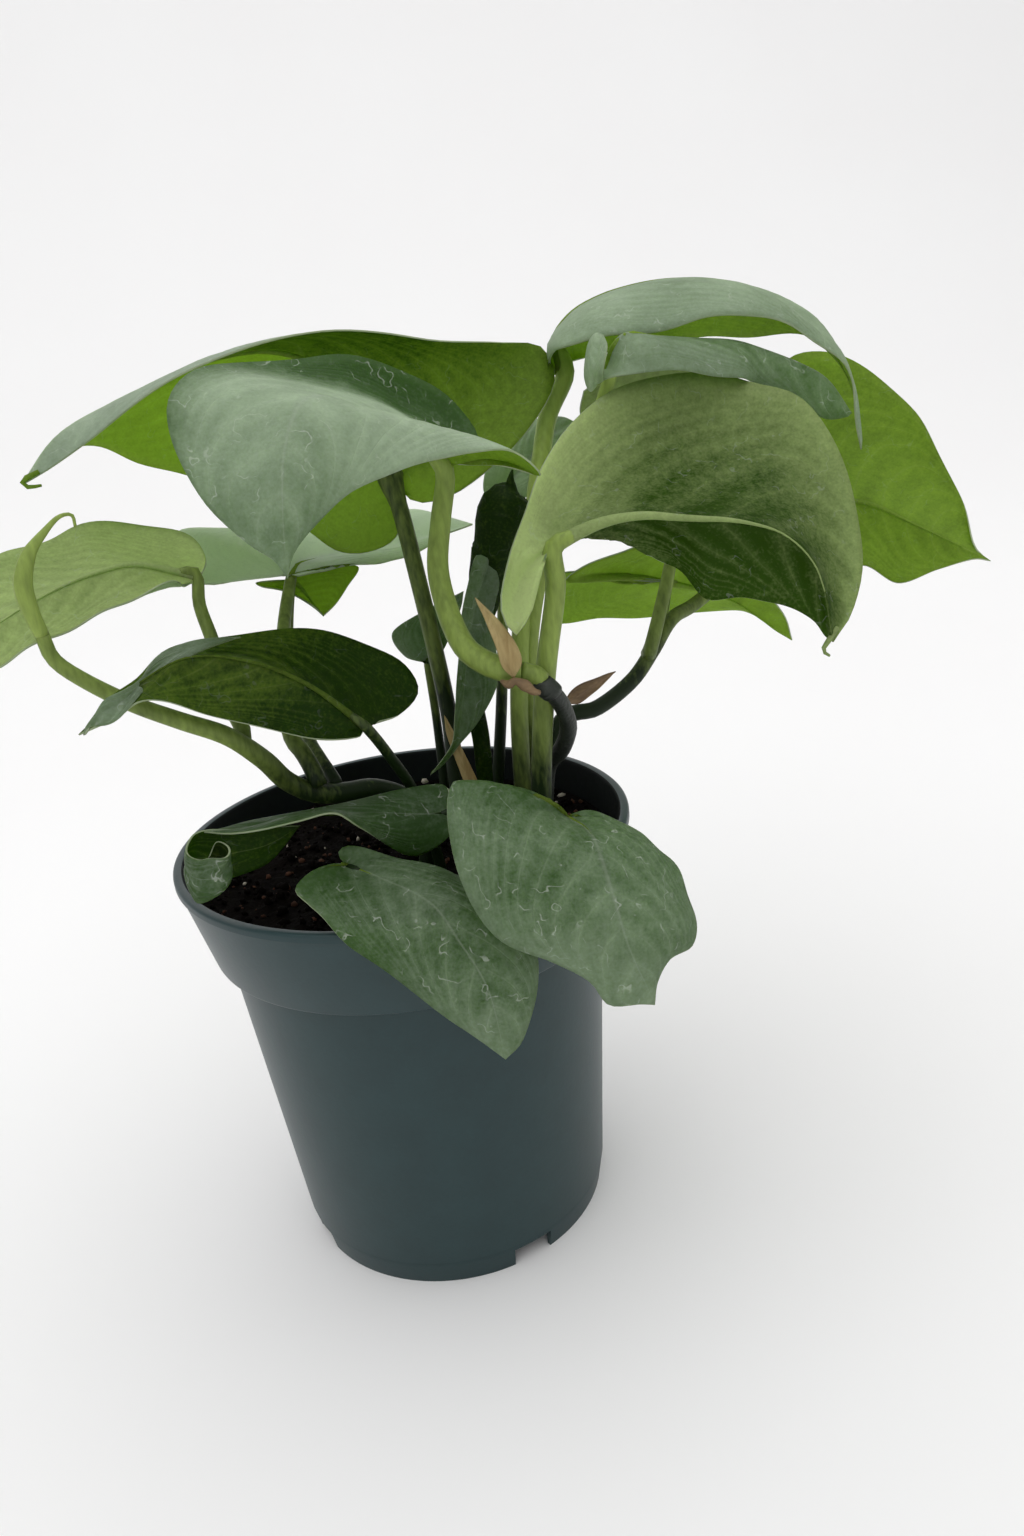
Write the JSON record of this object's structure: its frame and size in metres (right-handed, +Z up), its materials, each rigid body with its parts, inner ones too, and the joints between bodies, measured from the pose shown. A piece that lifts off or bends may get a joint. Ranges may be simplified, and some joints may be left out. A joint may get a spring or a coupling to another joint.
{
  "type": "potted houseplant",
  "caption": "Potted platinum scindapsus: silvery heart-shaped leaves on long arching stalks, in dark peat soil in a tapered green plastic nursery pot.",
  "frame": {"origin": "on the ground under the middle of the whole plant's bounding box; the pot's axis stands to its left", "axes": "+Z up; +X towards the right of the front view, along the plant's longest spread; -Y towards the viewer at the front"},
  "size_m": [0.3352, 0.1716, 0.3142],
  "materials": {
    "pot_plastic": "satin moulded polypropylene",
    "peat_soil": "rough and crumbly",
    "woody_stem": "rough",
    "green_stem": "satin",
    "green_leaf": "satin",
    "silver_leaf": "silvery satin",
    "dark_leaf": "satin",
    "dry_scale": "matte"
  },
  "bodies": {
    "root": {"pot": "pot_plastic", "leaf_back_left": "green_leaf", "leaf_front_left": "silver_leaf", "leaf_front_right": "green_leaf", "leaf_top_right": "silver_leaf", "leaf_right_lower": "silver_leaf", "leaf_far_right": "green_leaf", "leaf_far_left": "green_leaf", "leaf_left": "dark_leaf", "leaf_back_silver": "silver_leaf", "leaf_rim_right": "silver_leaf", "leaf_rim_front": "silver_leaf", "leaf_rim_left": "dark_leaf", "leaf_back_right": "green_leaf", "leaf_back_small": "green_leaf", "leaf_centre_small": "dark_leaf", "leaf_centre_back": "silver_leaf", "leaf_behind_right": "green_leaf", "soil": "peat_soil", "main_stem": "woody_stem", "left_vine": "green_stem", "leaf_unfurling": "dark_leaf", "dry_scale_tan": "dry_scale", "dry_scale_brown": "dry_scale", "dry_scale_straw": "dry_scale"}
  },
  "joints": []
}
